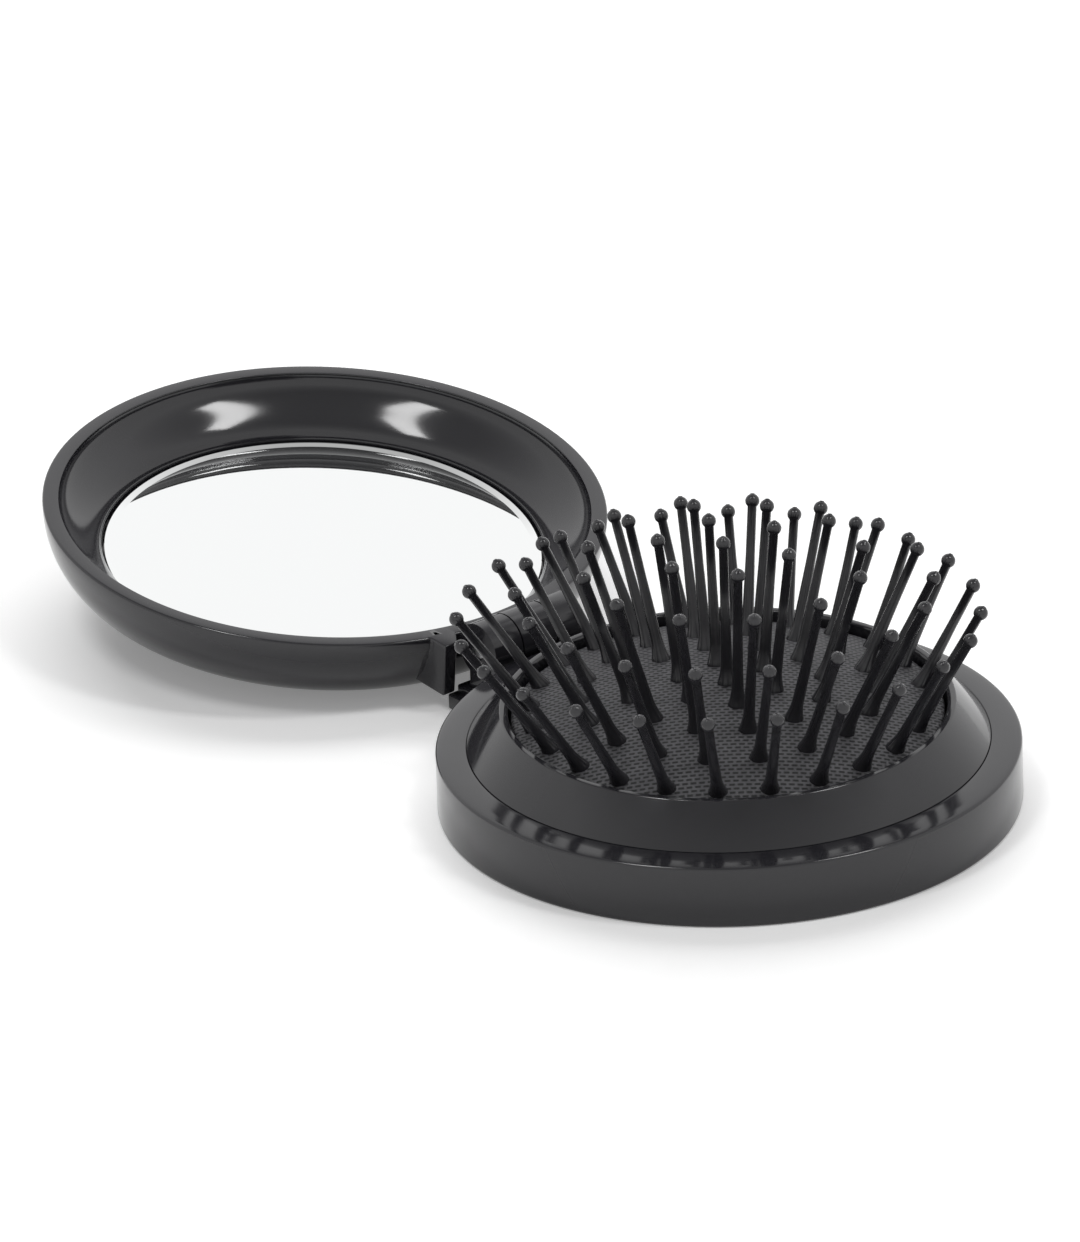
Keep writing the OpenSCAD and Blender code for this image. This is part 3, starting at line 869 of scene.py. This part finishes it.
@dataclass
class PinnedCushion:
    """The pop-up cushion with its rings of ball-tipped pins."""

    paint: Paintshop
    steps: int = 256
    pin_steps: int = 22
    pins_per_ring: int = 6
    pin_turn: float = 2.0
    foot_pitch: float = 5.55
    tip_top: float = 31.5
    tip_dome: float = 52.0
    tip_angles: tuple[float, ...] = (0.0, 8.5, 17.4, 26.0, 33.4)
    ball: float = 0.82
    shaft_top: float = 0.52
    shaft_low: float = 0.66
    foot: float = 1.12
    foot_height: float = 2.8
    nib: float = 0.3
    nib_height: float = 0.05
    folded_share: float = 0.2
    splay: tuple[float, ...] = (0.0, 0.0, 0.4, 0.6, 0.0)
    worn_lean: float = 1.0
    worn_side: float = 115.0
    ring_nodes: tuple[tuple[str, ...], ...] = field(default=(
        ("pin_centre",),
        ("pins_first_ring",),
        ("pins_second_ring",),
        ("pins_third_ring_left", "pins_third_ring_right"),
        ("pins_outer_ring_left", "pins_outer_ring_right"),
    ))

    def build(self) -> None:
        """Builds the cushion, its back and every pin."""
        self._cushion()
        self._back()
        for ring in range(len(self.tip_angles)):
            self._ring(ring)

    def _dome(self, depth: float, outer: float, steps: int) -> list[Corner]:
        """Points along the dome from the axis to a distance, at a depth below its face."""
        return [(outer * i / steps, DOME.height(outer * i / steps, depth), 0.0) for i in range(steps + 1)]

    def _cushion(self) -> None:
        """The domed cushion with its rounded edge."""
        edge = DOME.edge_radius
        face = self._dome(0.0, edge - 0.9, 34)
        under = self._dome(DOME.thickness, edge - 0.3, 16)
        outline = rounded_outline([
            *face,
            (edge, DOME.height(edge), 0.7),
            (edge, DOME.height(edge, DOME.thickness), 0.2),
            *reversed(under),
        ])
        piece = Bench.lathe("domed_cushion", outline, self.steps)
        Bench.place(piece, Matrix.Translation(BASE_AXIS))
        self.paint.dress(piece, Finish.WOVEN, "brush", ("cushion",), 60.0)

    def _back(self) -> None:
        """The soft disc behind the pin heads."""
        near, far, edge = DOME.thickness + 0.6, DOME.thickness + 1.8, 22.85
        upper = self._dome(near, edge, 14)
        lower = self._dome(far, edge - 0.4, 14)
        outline = rounded_outline([*upper, (edge, DOME.height(edge, far), 0.3), *reversed(lower)])
        piece = Bench.lathe("cushion_backing", outline, 128)
        Bench.place(piece, Matrix.Translation(BASE_AXIS))
        self.paint.dress(piece, Finish.RUBBER, "brush", ("cushion_back",), 60.0)

    def _pin_outline(self, length: float) -> list[Point]:
        """Outline of one pin: flared foot, tapered shaft, ball and nib, from the axis to the axis."""
        sunk = 0.9
        points: list[Point] = [(0.0, -sunk), (self.foot, -sunk), (self.foot, 0.0)]
        flare = 7
        for i in range(1, flare + 1):
            t = i / flare
            across = self.shaft_low + (self.foot - self.shaft_low) * (1 - t) ** 2
            points.append((across, self.foot_height * t))
        throat = math.asin(self.shaft_top / self.ball)
        points.append((self.shaft_top * 1.02, length * 0.6))
        points.append((self.shaft_top, length - self.ball * math.cos(throat)))
        crown = math.pi - math.asin(self.nib / self.ball)
        turns = 9
        for i in range(1, turns + 1):
            a = throat + (crown - throat) * i / turns
            points.append((self.ball * math.sin(a), length - self.ball * math.cos(a)))
        top = length + self.ball + self.nib_height
        points += [(self.nib * 0.92, top - 0.07), (self.nib * 0.65, top), (0.0, top)]
        return points

    def _tip(self, ring: int, turn: float) -> Vector:
        """Place of a pin's ball, from the base's own axis, in millimetres.

        The outer pins on the hinge's left side lean a little further out, as on a brush in use.

        Args:
            ring: The pin's ring, with 0 at the middle.
            turn: The pin's angle about the axis, in radians.

        Returns:
            The ball's centre.
        """
        angle = math.radians(self.tip_angles[ring])
        across = self.tip_dome * math.sin(angle) + self.splay[ring]
        up = self.tip_top - self.tip_dome * (1.0 - math.cos(angle))
        tip = Vector((across * math.cos(turn), across * math.sin(turn), up))
        if ring == len(self.tip_angles) - 1:
            tip.x -= self.worn_lean * (1.0 + math.cos(turn - math.radians(self.worn_side)))
        return tip

    def _ring(self, ring: int) -> None:
        """Models the pins of one ring, from the same pattern."""
        foot_r = ring * self.foot_pitch
        count = max(1, ring * self.pins_per_ring)
        nodes = self.ring_nodes[ring]
        outermost = ring == len(self.tip_angles) - 1
        for index in range(count):
            turn = math.radians(self.pin_turn) + 2 * math.pi * index / count
            outwards = Vector((math.cos(turn), math.sin(turn), 0.0))
            foot = outwards * foot_r + Vector((0.0, 0.0, DOME.height(foot_r)))
            stem = self._tip(ring, turn) - foot
            name = f"pin_ring{ring}_{index + 1:02d}"
            pin = Bench.lathe(name, self._pin_outline(stem.length), self.pin_steps)
            lean = stem.to_track_quat("Z", "Y").to_matrix().to_4x4()
            Bench.place(pin, Matrix.Translation(BASE_AXIS + foot * MM) @ lean)
            self.paint.dress(pin, Finish.PIN, "brush", nodes if index == 0 else (), 50.0)
            if outermost:
                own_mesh(pin)


# ---------------------------------------------------------------- lid


@dataclass
class MirrorLid:
    """The lid: bowl with ears and middle knuckle, mirror frame, mirror and its foam."""

    paint: Paintshop
    steps: int = 288
    depth: float = 9.7
    flank_width: float = 8.2
    rim_width: float = 1.9
    floor: float = 1.2
    wall: float = 1.1
    lip: float = 0.18
    rim_edge: float = 0.3
    frame_width: float = 5.2
    frame_depth: float = 6.2
    frame_wall: float = 1.6
    mirror_gap: float = 0.3
    mirror_thickness: float = 1.6
    bevel_width: float = 0.8
    bevel_rise: float = 0.18
    foam: float = 0.4
    knuckle_half: float = 2.4
    knuckle_radius: float = 3.3
    bore_radius: float = 1.06
    ear_in: float = 7.7
    ear_width: float = 1.7
    ear_flare: float = 1.8
    ear_height: float = 6.6
    ear_reach: float = 2.5
    ear_edge: float = 0.22
    ear_layers: int = 6

    def build(self) -> None:
        """Builds every piece of the lid."""
        self._shell()
        self._knuckle()
        self._frame()
        self._mirror()
        self._foam()

    @property
    def rim_inside(self) -> float:
        """Inner radius of the flat rim."""
        return BODY.rim_radius - self.rim_width

    @property
    def flank_centre(self) -> float:
        """Radius where the flat outside turns into the rounded flank."""
        return BODY.rim_radius - self.flank_width

    @property
    def cavity(self) -> float:
        """Depth of the lid's inside below its rim."""
        return self.depth - self.floor

    @staticmethod
    def _opened(local: Matrix) -> Matrix:
        """Turns a place on the flat-open lid, measured from the hinge axis, into its rest place."""
        axis = Matrix.Translation((0.0, 0.0, BODY.hinge_height * MM))
        return axis @ Matrix.Rotation(math.radians(BODY.open_tilt), 4, "X") @ local

    def _turned(self, name: str, corners: list[Corner], arc_steps: int = 5) -> Piece:
        """Lathes a round lid piece from corners as (radius, depth below the rim, rounding)."""
        outline = [(across, -down) for across, down in rounded_outline(corners, arc_steps)]
        piece = Bench.lathe(name, outline, self.steps)
        Bench.place(piece, self._opened(self._centred()))
        return piece

    def _flank(self, inset: float, drop: float, start: float, steps: int) -> list[Corner]:
        """Points of a quarter ellipse from near the rim to the flat bottom."""
        points = []
        for i in range(steps + 1):
            a = math.radians(start + (90.0 - start) * i / steps)
            across = self.flank_centre + (self.flank_width - inset) * math.cos(a)
            points.append((across, (self.depth - drop) * math.sin(a), 0.0))
        return points

    def _shell(self) -> None:
        """The lid's bowl with its flat rim, its ears, and the lip that the mirror frame snaps under."""
        lip_angle = math.degrees(math.asin((self.lip + BODY.seam) / self.cavity))
        outline = rounded_outline([
            (0.0, self.cavity, 0.0),
            *reversed(self._flank(self.wall, self.floor, lip_angle, 24)),
            (self.rim_inside, self.lip, 0.05),
            (self.rim_inside, 0.0, 0.1),
            (BODY.rim_radius, 0.0, self.rim_edge),
            *self._flank(0.0, 0.0, 5.0, 40),
            (0.0, self.depth, 0.0),
        ])
        shell = Bench.lathe("lid_bowl", [(across, -down) for across, down in outline], self.steps)
        for side in (-1, 1):
            ear = self._ear(side)
            Bench.merge_shapes(ear, self._hollow(), cut=True)
            Bench.merge_shapes(shell, ear)
        Bench.place(shell, self._opened(self._centred()))
        self.paint.dress(shell, Finish.SHELL, "lid", ("lid_shell",), CRISP)

    def _centred(self) -> Matrix:
        """The lid's own centre, with its rim at height 0, seen from the hinge axis."""
        return Matrix.Translation((0.0, BODY.hinge_reach * MM, BODY.rim_above_axis * MM))

    def _recess(self, down: float) -> float:
        """How far the flank has drawn in from the rim at a depth."""
        return self.flank_width * (1.0 - math.sqrt(1.0 - (down / self.depth) ** 2))

    def _ear(self, side: int) -> Piece:
        """One ear beside the hinge, level with the rim, whose foot follows the flank inwards.

        Args:
            side: -1 for the left ear and 1 for the right one.

        Returns:
            The ear with rounded edges, in the place of the lid's own centre.
        """
        reach = self.ear_reach
        root = reach + 5.2
        fillet = self.ear_flare / 3
        outer = self.ear_in + self.ear_width
        plan = [
            (self.ear_in - self.ear_flare, root),
            (self.ear_in - self.ear_flare * 0.75, reach + self.ear_flare),
            (self.ear_in, reach),
            (outer, reach),
            (outer + 0.1, reach + 2.0),
            (outer + 0.15 + 0.15 * fillet, reach + 2.5),
            (outer + 0.15 + 0.5 * fillet, reach + 2.85),
            (outer + 0.15 + 1.2 * fillet, reach + 3.1),
            (outer + 0.15 + 1.6 * fillet, root),
        ]
        shift = BODY.hinge_reach
        outline = [Vector((side * x * MM, (y - shift) * MM, 0.0)) for x, y in plan]
        ear = Bench.draw(f"ear_{side}", outline)
        bpy.ops.mesh.edge_face_add()
        step = self.ear_height / self.ear_layers
        for layer in range(self.ear_layers):
            down = Vector((0.0, 0.0, -step * MM))
            bpy.ops.mesh.extrude_region_move(TRANSFORM_OT_translate={"value": down})
            inwards = self._recess((layer + 1) * step) - self._recess(layer * step)
            self._draw_foot_in(ear, (reach + 2.3 - shift) * MM, -(layer + 1) * step * MM, inwards * MM)
        bpy.ops.mesh.select_all(action="SELECT")
        bpy.ops.mesh.normals_make_consistent(inside=False)
        bpy.ops.object.mode_set(mode="OBJECT")
        Bench.round_edges(ear, self.ear_edge)
        return ear

    @staticmethod
    def _draw_foot_in(ear: Piece, beyond: float, height: float, inwards: float) -> None:
        """Moves the part of a new layer that lies beyond the ear's side, and selects the layer again.

        Args:
            ear: The ear in edit mode.
            beyond: Only corners further in than this Y are moved, in metres.
            height: The layer's height, in metres.
            inwards: How far they move, in metres.
        """
        for wanted in (beyond, -math.inf):
            bpy.ops.mesh.select_all(action="DESELECT")
            bpy.ops.object.mode_set(mode="OBJECT")
            for vertex in ear.data.vertices:
                vertex.select = vertex.co.y > wanted and abs(vertex.co.z - height) < 1e-6
            bpy.ops.object.mode_set(mode="EDIT")
            bpy.ops.mesh.select_mode(type="VERT")
            if wanted == beyond:
                bpy.ops.transform.translate(value=(0.0, inwards, 0.0))

    def _hollow(self) -> Piece:
        """The lid's inside up to the middle of its wall, as a solid for cutting."""
        inside = self._flank(self.wall / 2, self.floor / 2, 0.0, 16)
        outline = [(0.0, 2.0), (inside[0][0], 2.0), *((across, -down) for across, down, _ in inside)]
        return Bench.lathe("hollow", [*outline, (0.0, outline[-1][1])], 180)

    def _knuckle(self) -> None:
        """The middle knuckle with the arm that joins it to the lid's wall."""
        root = BODY.hinge_reach - BODY.rim_radius + self.rim_width / 2
        top = BODY.rim_above_axis - 0.15
        low = -self.knuckle_radius
        half = self.knuckle_half * MM
        corners = ((0.0, low), (root, low), (root, top), (0.0, top))
        outline = [Vector((-half, y * MM, z * MM)) for y, z in corners]
        arm = Bench.slab("knuckle_middle", outline, Vector((2 * half, 0.0, 0.0)), 0.0)
        for extra, radius in ((0.0, self.knuckle_radius), (2.0, self.bore_radius)):
            bar = Bench.hinge_bar(0.0, 2 * self.knuckle_half + extra, radius)
            Bench.place(bar, Matrix.Translation((0.0, 0.0, -BODY.hinge_height * MM)))
            Bench.merge_shapes(arm, bar, cut=extra > 0.0)
        Bench.round_edges(arm, HINGE_EDGE)
        Bench.place(arm, self._opened(Matrix.Identity(4)))
        self.paint.dress(arm, Finish.SHELL, "lid", (), CRISP)

    def _frame(self) -> None:
        """The mirror's surround: an S-shaped wall from the rim down to the mirror."""
        start = self.lip + BODY.seam
        inner = self.rim_inside - self.frame_width
        reach = self.flank_width - self.wall - BODY.seam
        foot = self.cavity * math.sqrt(1.0 - ((inner - self.flank_centre) / reach) ** 2) - BODY.seam
        steps = 40

        def face(t: float) -> float:
            """Radius of the frame's face, from the rim at 0 to its inner edge at 1."""
            return inner + self.frame_width * (1.0 + math.cos(math.pi * t)) / 2

        def back(down: float) -> float:
            """Radius of the frame's hidden back at a depth."""
            share = min(1.0, (down - start) / (self.frame_depth - start))
            fallen = down / (self.cavity - BODY.seam)
            cavity_wall = self.flank_centre + reach * math.sqrt(max(0.0, 1.0 - fallen**2))
            return min(face(share) + self.frame_wall, cavity_wall)

        corners: list[Corner] = []
        for i in range(steps + 1):
            t = i / steps
            corners.append((face(t), start + (self.frame_depth - start) * t, 0.0))
        corners.append((inner, self.frame_depth + 0.2, 0.0))
        corners.append((inner, foot, 0.0))
        for i in range(steps, -1, -1):
            down = start + (foot - start) * i / steps
            corners.append((back(down), down, 0.0))
        piece = self._turned("mirror_surround", corners)
        self.paint.dress(piece, Finish.SHELL, "lid", ("mirror_frame",), 50.0)

    def _mirror(self) -> None:
        """The round mirror. Its polished bevel bends the light up, as a rim that rises outwards does."""
        radius = self.rim_inside - self.frame_width - self.mirror_gap
        face = self.cavity - self.foam - self.mirror_thickness
        mirror = self._turned("round_mirror", [
            (0.0, face, 0.0),
            (radius - self.bevel_width, face, 0.0),
            (radius, face - self.bevel_rise, 0.04),
            (radius, face + self.mirror_thickness, 0.0),
            (0.0, face + self.mirror_thickness, 0.0),
        ], 2)
        self.paint.dress(mirror, Finish.MIRROR, "lid", ("mirror_glass",), 5.0)

    def _foam(self) -> None:
        """The adhesive foam behind the mirror."""
        top = self.cavity - self.foam
        radius = self.flank_centre - 1.0
        foam = self._turned("mirror_adhesive", [
            (0.0, top, 0.0), (radius, top, 0.1), (radius, self.cavity, 0.05), (0.0, self.cavity, 0.0)
        ], 3)
        self.paint.dress(foam, Finish.FOAM, "lid", ("mirror_foam",), 30.0)


# ---------------------------------------------------------------- studio


class Lamp(Enum):
    """The studio's soft boxes as (direction from the object, width and height in metres, watts)."""

    OVERHEAD_RIGHT = ((0.28, -0.39, 0.88), (0.20, 0.40), 3.4)
    OVERHEAD_LEFT = ((-0.40, 0.02, 0.92), (0.20, 0.40), 3.4)
    BACK = ((0.45, 0.56, 0.70), (1.6, 1.0), 17.0)


@dataclass
class Studio:
    """White table, soft boxes, surroundings and the camera."""

    heading: float = 38.52
    elevation: float = 24.725
    roll: float = -2.019
    distance: float = 1.33933
    focal_pixels: float = 11493.6
    frame_height: float = 1242.0
    sensor: float = 36.0
    aim: tuple[float, float] = (0.0146247, 0.0151215)
    floor_size: float = 9.0
    lamp_distance: float = 1.4
    floor_colour: tuple[float, float, float] = (0.95, 0.95, 0.95)
    floor_glow: float = 0.2
    ambient: float = 0.32
    sky: tuple[Point, Point] = ((0.62, 1.0), (0.85, 0.45))

    def build(self) -> None:
        """Sets up the studio."""
        bpy.context.scene.view_settings.view_transform = "Standard"
        self._camera()
        self._floor()
        self._surroundings()
        for lamp in Lamp:
            self._soft_box(lamp)

    def _camera(self) -> None:
        """Places the camera at the photograph's angle."""
        heading = math.radians(self.heading)
        elevation = math.radians(self.elevation)
        roll = math.radians(self.roll)
        level = Vector((math.sin(heading), math.cos(heading), 0.0))
        sideways = Vector((math.cos(heading), -math.sin(heading), 0.0))
        forward = level * math.cos(elevation) - Vector((0.0, 0.0, math.sin(elevation)))
        upwards = level * math.sin(elevation) + Vector((0.0, 0.0, math.cos(elevation)))
        right = sideways * math.cos(roll) + upwards * math.sin(roll)
        up = upwards * math.cos(roll) - sideways * math.sin(roll)
        place = Vector((*self.aim, 0.0)) - forward * self.distance
        data = bpy.data.cameras.new("view")
        data.sensor_width = self.sensor
        data.lens = self.focal_pixels * self.sensor / self.frame_height
        data.clip_start = 0.05
        camera = bpy.data.objects.new("view", data)
        bpy.context.scene.collection.objects.link(camera)
        turned = Matrix((right, up, -forward)).transposed().to_4x4()
        camera.matrix_world = Matrix.Translation(place) @ turned
        bpy.context.scene.camera = camera

    def _floor(self) -> None:
        """The white table top, which keeps the object's shadow."""
        Bench.clear()
        bpy.ops.mesh.primitive_plane_add(size=self.floor_size)
        floor = bpy.context.object
        floor.name = "table_top"
        material = bpy.data.materials.new("white_table")
        tree, out = self._emptied(material, "ShaderNodeOutputMaterial")
        paper = tree.nodes.new("ShaderNodeBsdfDiffuse")
        paper.inputs["Color"].default_value = (*self.floor_colour, 1.0)
        glow = tree.nodes.new("ShaderNodeEmission")
        seen = self._seen(tree)
        tree.links.new(math_node(tree, "MULTIPLY", seen, self.floor_glow), glow.inputs["Strength"])
        both = tree.nodes.new("ShaderNodeAddShader")
        tree.links.new(paper.outputs[0], both.inputs[0])
        tree.links.new(glow.outputs[0], both.inputs[1])
        tree.links.new(both.outputs[0], out.inputs["Surface"])
        floor.data.materials.append(material)

    @staticmethod
    def _emptied(holder: bpy.types.ID, output: str) -> tuple[Tree, Node]:
        """Empties the node tree of a material or world, and gives it an output node."""
        holder.use_nodes = True
        holder.node_tree.nodes.clear()
        return holder.node_tree, holder.node_tree.nodes.new(output)

    @staticmethod
    def _seen(tree: Tree) -> Socket:
        """One for camera, glossy and transmission rays, and zero for the rest."""
        path = tree.nodes.new("ShaderNodeLightPath")
        some = math_node(tree, "MAXIMUM", path.outputs["Is Camera Ray"], path.outputs["Is Glossy Ray"])
        return math_node(tree, "MAXIMUM", some, path.outputs["Is Transmission Ray"])

    def _surroundings(self) -> None:
        """White surroundings, a little darker overhead, seen by the camera and by gloss."""
        world = bpy.data.worlds.new("studio")
        bpy.context.scene.world = world
        tree, out = self._emptied(world, "ShaderNodeOutputWorld")
        ambient = tree.nodes.new("ShaderNodeBackground")
        ambient.inputs["Strength"].default_value = self.ambient
        visible = tree.nodes.new("ShaderNodeBackground")
        visible.inputs["Strength"].default_value = 1.0
        direction = tree.nodes.new("ShaderNodeTexCoord")
        split = tree.nodes.new("ShaderNodeSeparateXYZ")
        tree.links.new(direction.outputs["Generated"], split.inputs[0])
        ramp = tree.nodes.new("ShaderNodeValToRGB")
        for stop, (height, grey) in zip(ramp.color_ramp.elements, self.sky):
            stop.position = height
            stop.color = (grey, grey, grey, 1.0)
        tree.links.new(split.outputs["Z"], ramp.inputs["Fac"])
        tree.links.new(ramp.outputs["Color"], visible.inputs["Color"])
        mix = tree.nodes.new("ShaderNodeMixShader")
        tree.links.new(self._seen(tree), mix.inputs["Fac"])
        tree.links.new(ambient.outputs[0], mix.inputs[1])
        tree.links.new(visible.outputs[0], mix.inputs[2])
        tree.links.new(mix.outputs[0], out.inputs["Surface"])

    def _soft_box(self, lamp: Lamp) -> None:
        """Adds one oblong area lamp that faces the object."""
        direction, (width, height), watts = lamp.value
        data = bpy.data.lights.new(lamp.name.lower(), "AREA")
        data.shape = "RECTANGLE"
        data.size = width
        data.size_y = height
        data.energy = watts
        light = bpy.data.objects.new(lamp.name.lower(), data)
        bpy.context.scene.collection.objects.link(light)
        light.visible_camera = False
        light.visible_glossy = lamp is not Lamp.BACK
        where = Vector(direction).normalized() * self.lamp_distance
        turned = (-where).to_track_quat("-Z", "Y").to_matrix().to_4x4()
        light.matrix_world = Matrix.Translation(where) @ turned


# ---------------------------------------------------------------- run


def main() -> None:
    """Builds the object and its studio."""
    logging.basicConfig(level=logging.INFO, format="%(name)s: %(message)s")
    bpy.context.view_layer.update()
    paint = Paintshop()
    BaseHalf(paint).build()
    PinnedCushion(paint).build()
    MirrorLid(paint).build()
    Studio().build()


if __name__ == "__main__":
    main()
